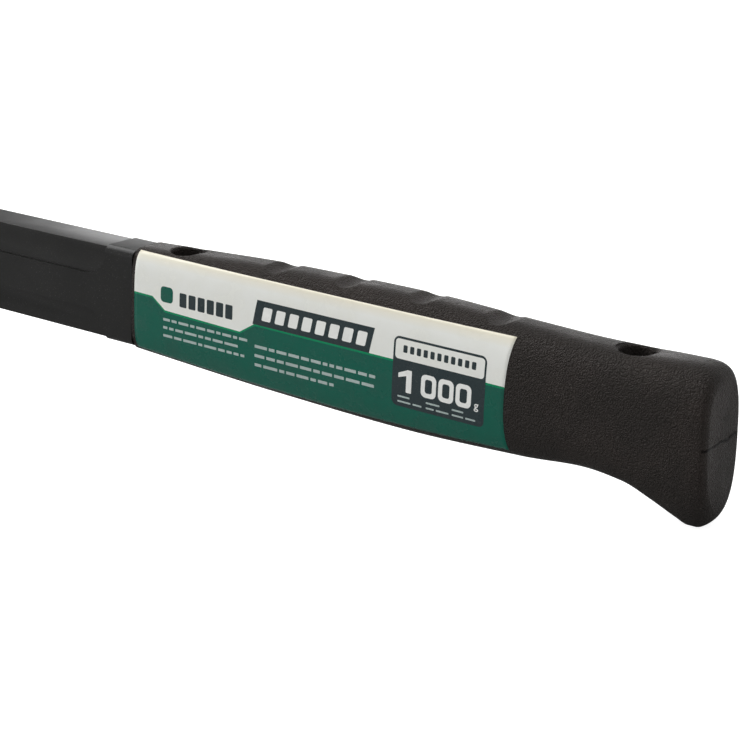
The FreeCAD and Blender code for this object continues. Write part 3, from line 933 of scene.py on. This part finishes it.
def headPoint(ring, angle):
    # a square with its corners cut, one vert for each eighth of a turn
    z, sideX, sideY, corner, lean = ring
    halfX, halfY = sideX / 2, sideY / 2
    octant = int(round((angle - math.pi / 8) / (math.pi / 4))) % 8
    corners = ((halfX, halfY - corner), (halfX - corner, halfY), (corner - halfX, halfY),
               (-halfX, halfY - corner), (-halfX, corner - halfY), (corner - halfX, -halfY),
               (halfX - corner, -halfY), (halfX, corner - halfY))
    x, y = corners[octant]
    return Vector((x + lean, y, z))


def buildHead():
    bm = skin(bmesh.new(), 8, headShape["rings"], headPoint, startAngle=math.pi / 8)
    head = finishPiece("hammerHead", bm, ["hammer_head"], [forgedSteel])
    thick, height, corner = headShape["eye"]
    cutWith(head, [cutterFrom(roundBar(bmesh.new(), -40, 80, thick, height, corner, 10))])
    for face in head.data.polygons:
        face.use_smooth = True
    head.data.set_sharp_from_angle(angle=math.radians(headShape["creaseAngle"]))
    addBevel(head, headShape["edge"], 4, 28)


buildHead()
print("head built")


# ---------- floor, light and camera

def addLight(name, location, aim, size, power):
    light = bpy.data.lights.new(name, "AREA")
    light.shape = "RECTANGLE"
    light.size, light.size_y = size
    light.energy = power
    lamp = bpy.data.objects.new(name, light)
    lamp.location = location
    lamp.rotation_euler = (Vector(aim) - Vector(location)).to_track_quat("-Z", "Y").to_euler()
    bpy.context.scene.collection.objects.link(lamp)


floorMaterial, floorTree, floorShader, _ = startMaterial("paleFloor", 0.7)
# the floor is near white where the camera sees it and greyer where it throws light back up
floorShader.inputs["Base Color"].default_value = (0.45, 0.45, 0.45, 1)
floorSeen = floorTree.nodes.new("ShaderNodeLightPath").outputs["Is Camera Ray"]
floorTree.links.new(math2(floorTree, "MULTIPLY", floorSeen, 0.88), floorShader.inputs["Emission Strength"])
floorShader.inputs["Emission Color"].default_value = (1, 1, 1, 1)
bm = bmesh.new()
bmesh.ops.create_grid(bm, x_segments=1, y_segments=1, size=30.0)
floorMesh = bpy.data.meshes.new("floor")
bm.to_mesh(floorMesh)
bm.free()
floorMesh.materials.append(floorMaterial)
floor = bpy.data.objects.new("floor", floorMesh)
bpy.context.scene.collection.objects.link(floor)

world = bpy.data.worlds.new("studio")
world.use_nodes = True
worldTree = world.node_tree
background = worldTree.nodes["Background"]
# bright low behind the hammer, dimmer overhead and in front, plain white where the camera sees it
skyVector = worldTree.nodes.new("ShaderNodeTexCoord").outputs["Generated"]
skySplit = node(worldTree, "SeparateXYZ")
worldTree.links.new(skyVector, skySplit.inputs["Vector"])
skyShade = worldTree.nodes.new("ShaderNodeValToRGB")
for position, value in ((0.08, 1.0), (0.30, 1.0), (0.46, 0.35)):
    skyShade.color_ramp.elements.new(position).color = (value, value, value, 1)
skyShade.color_ramp.elements[0].color = (0.6, 0.6, 0.6, 1)
skyShade.color_ramp.elements[-1].color = (0.28, 0.28, 0.28, 1)
worldTree.links.new(skySplit.outputs["Z"], skyShade.inputs["Fac"])
behind = node(worldTree, "MapRange")
for label, value in (("From Min", -0.3), ("From Max", 0.3), ("To Min", 0.72), ("To Max", 1.0)):
    behind.inputs[label].default_value = value
worldTree.links.new(skySplit.outputs["Y"], behind.inputs["Value"])
skyColor = mixColor(worldTree, behind.outputs["Result"], (0, 0, 0, 1), skyShade.outputs["Color"])
seen = worldTree.nodes.new("ShaderNodeLightPath").outputs["Is Camera Ray"]
worldTree.links.new(mixColor(worldTree, seen, skyColor, (1, 1, 1, 1)), background.inputs["Color"])
background.inputs["Strength"].default_value = 1.0
bpy.context.scene.world = world

addLight("overhead", (-0.45, 0.05, 1.0), (0.03, 0, 0.05), (0.8, 0.8), 11)
addLight("front", (0.55, -0.9, 0.55), (0.05, 0, 0.03), (0.8, 0.8), 2.6)
addLight("left", (-0.9, -0.45, 0.32), (0.0, 0, 0.06), (0.16, 0.6), 2.0)
addLight("rear", (-0.85, 1.0, 0.18), (0.03, 0, 0.05), (1.8, 0.2), 3.2)

cameraSetup = {"aim": (54.0, 0.0, 30.15), "distance": 506.9, "azimuth": 35.4, "elevation": 13.56,
               "roll": -3.37, "lens": 86.26}
azimuth, elevation = math.radians(cameraSetup["azimuth"]), math.radians(cameraSetup["elevation"])
back = Vector((math.sin(azimuth) * math.cos(elevation), -math.cos(azimuth) * math.cos(elevation),
               math.sin(elevation)))
cameraData = bpy.data.cameras.new("camera")
cameraData.lens = cameraSetup["lens"]
cameraData.sensor_width = 36
camera = bpy.data.objects.new("camera", cameraData)
camera.location = (Vector(cameraSetup["aim"]) + back * cameraSetup["distance"]) / 1000
camera.rotation_mode = "QUATERNION"
roll = Quaternion((0, 0, 1), math.radians(cameraSetup["roll"]))
camera.rotation_quaternion = (-back).to_track_quat("-Z", "Y") @ roll
cameraData.clip_start = 0.01
bpy.context.scene.collection.objects.link(camera)
bpy.context.scene.camera = camera
bpy.context.scene.view_settings.view_transform = "Standard"
print("studio built")
